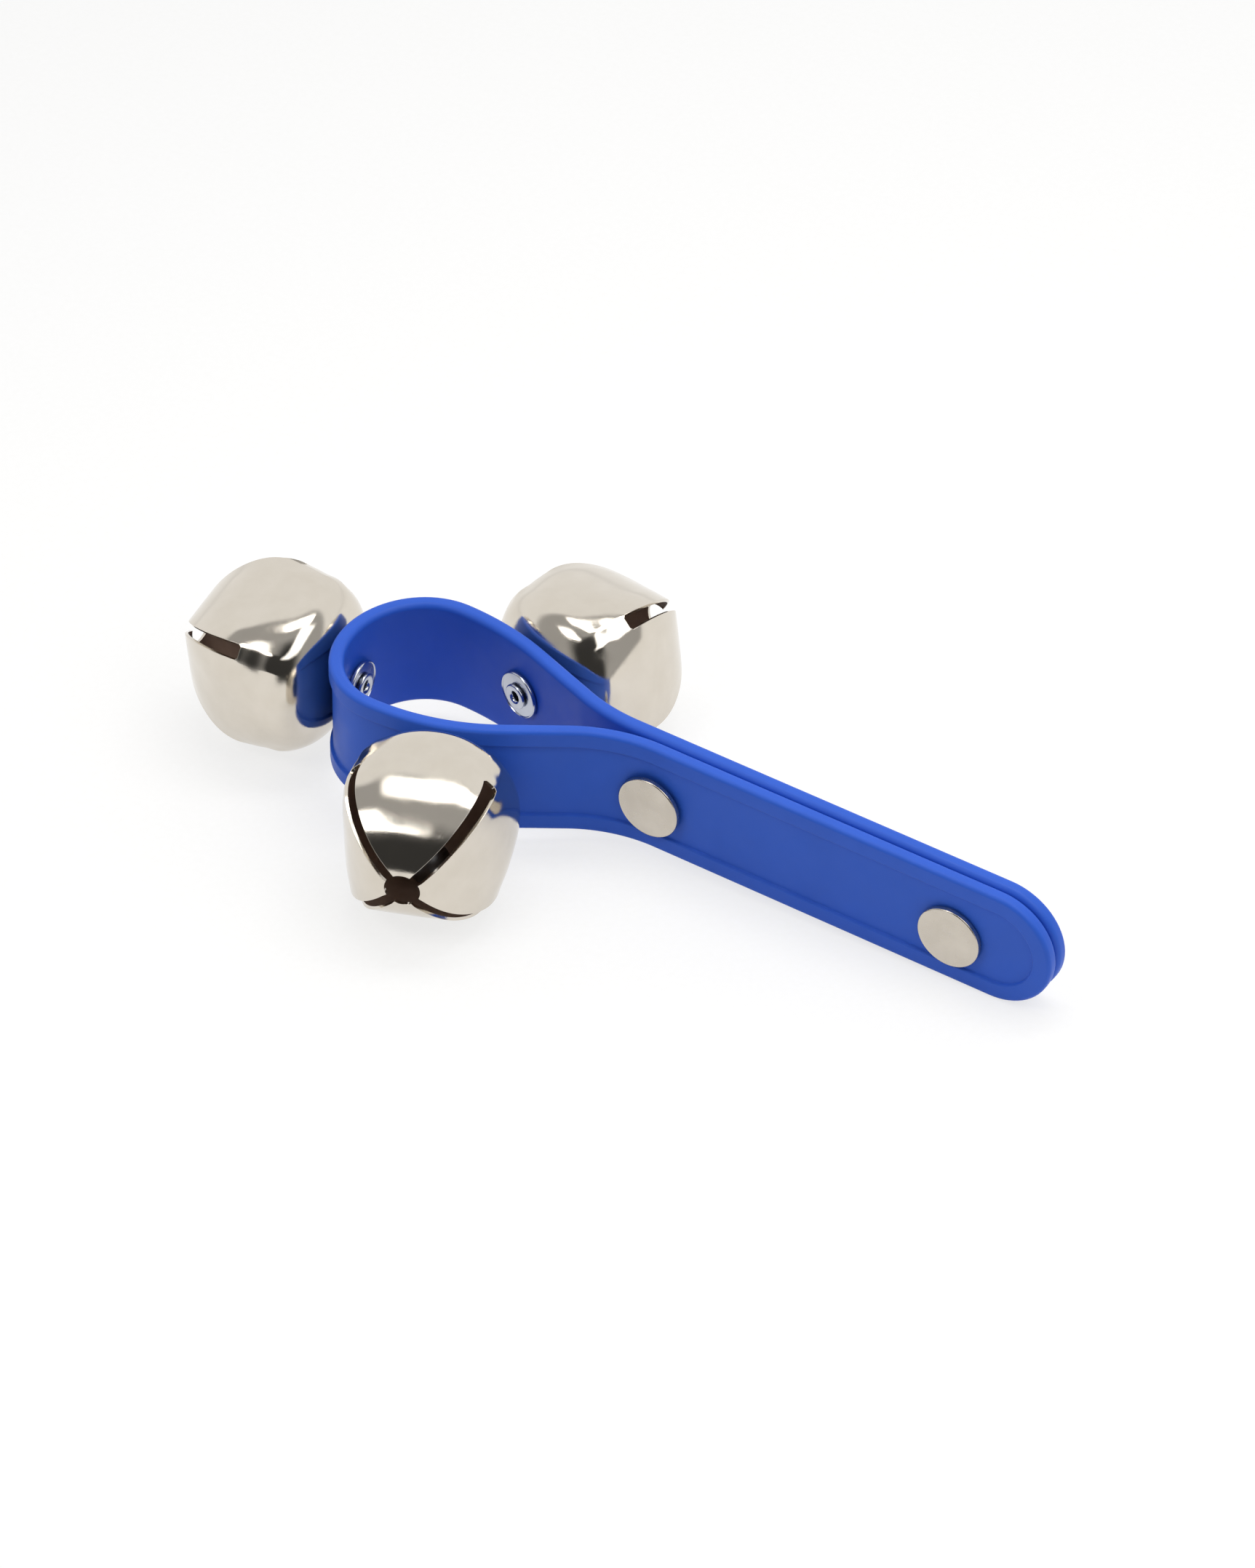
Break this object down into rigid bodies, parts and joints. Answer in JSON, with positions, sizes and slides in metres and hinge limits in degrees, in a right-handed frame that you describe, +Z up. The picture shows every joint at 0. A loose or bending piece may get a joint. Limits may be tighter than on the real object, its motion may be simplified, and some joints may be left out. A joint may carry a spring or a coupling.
{
  "type": "jingle bell stick",
  "caption": "Hand-held jingle shaker: a moulded strap folded double and riveted into a flat handle with a teardrop loop, with slotted jingle bells riveted round the loop.",
  "frame": {"origin": "middle of the footprint, on the table that the object lies on", "axes": "+X along the handle, away from the loop; -Y towards the rivet caps; +Z up from the table"},
  "size_m": [0.2004, 0.101, 0.0365],
  "materials": {
    "blue_moulding": "satin moulded soft plastic, royal blue",
    "nickel_plate": "bright nickel plating on pressed steel",
    "zinc_plate": "bright zinc plating",
    "bare_steel": "dull bare steel"
  },
  "bodies": {
    "handle_and_loop": {"strap": "blue_moulding", "bell_rivet_tip": "zinc_plate", "bell_rivet_back": "zinc_plate", "bell_rivet_front": "zinc_plate", "bell_washer_tip": "zinc_plate", "bell_washer_back": "zinc_plate", "bell_washer_front": "zinc_plate", "handle_rivet_end": "nickel_plate", "handle_rivet_loop": "nickel_plate", "handle_washer_end": "zinc_plate", "handle_washer_loop": "zinc_plate"},
    "tip_bell": {"bell_tip": "nickel_plate"},
    "back_bell": {"bell_back": "nickel_plate"},
    "front_bell": {"bell_front": "nickel_plate"},
    "tip_pellet": {"pellet_tip": "bare_steel"},
    "back_pellet": {"pellet_back": "bare_steel"},
    "front_pellet": {"pellet_front": "bare_steel"}
  },
  "joints": [
    {"name": "tip_bell_swivel", "type": "hinge", "parent": "handle_and_loop", "child": "tip_bell", "pos_m": [-0.064, -0.00217, 0.01852], "axis": [-0.9956, -0.0845, 0.0398], "continuous": true},
    {"name": "back_bell_swivel", "type": "hinge", "parent": "handle_and_loop", "child": "back_bell", "pos_m": [-0.03104, 0.01462, 0.01803], "axis": [0.2832, 0.9584, -0.0365], "continuous": true},
    {"name": "front_bell_swivel", "type": "hinge", "parent": "handle_and_loop", "child": "front_bell", "pos_m": [-0.03101, -0.01514, 0.01723], "axis": [0.3418, -0.9397, 0.0125], "continuous": true},
    {"name": "tip_pellet_roll", "type": "hinge", "parent": "tip_bell", "child": "tip_pellet", "pos_m": [-0.064, -0.00217, 0.01852], "axis": [-0.9956, -0.0845, 0.0398], "continuous": true},
    {"name": "back_pellet_roll", "type": "hinge", "parent": "back_bell", "child": "back_pellet", "pos_m": [-0.03104, 0.01462, 0.01803], "axis": [0.2832, 0.9584, -0.0365], "continuous": true},
    {"name": "front_pellet_roll", "type": "hinge", "parent": "front_bell", "child": "front_pellet", "pos_m": [-0.03101, -0.01514, 0.01723], "axis": [0.3418, -0.9397, 0.0125], "continuous": true}
  ]
}
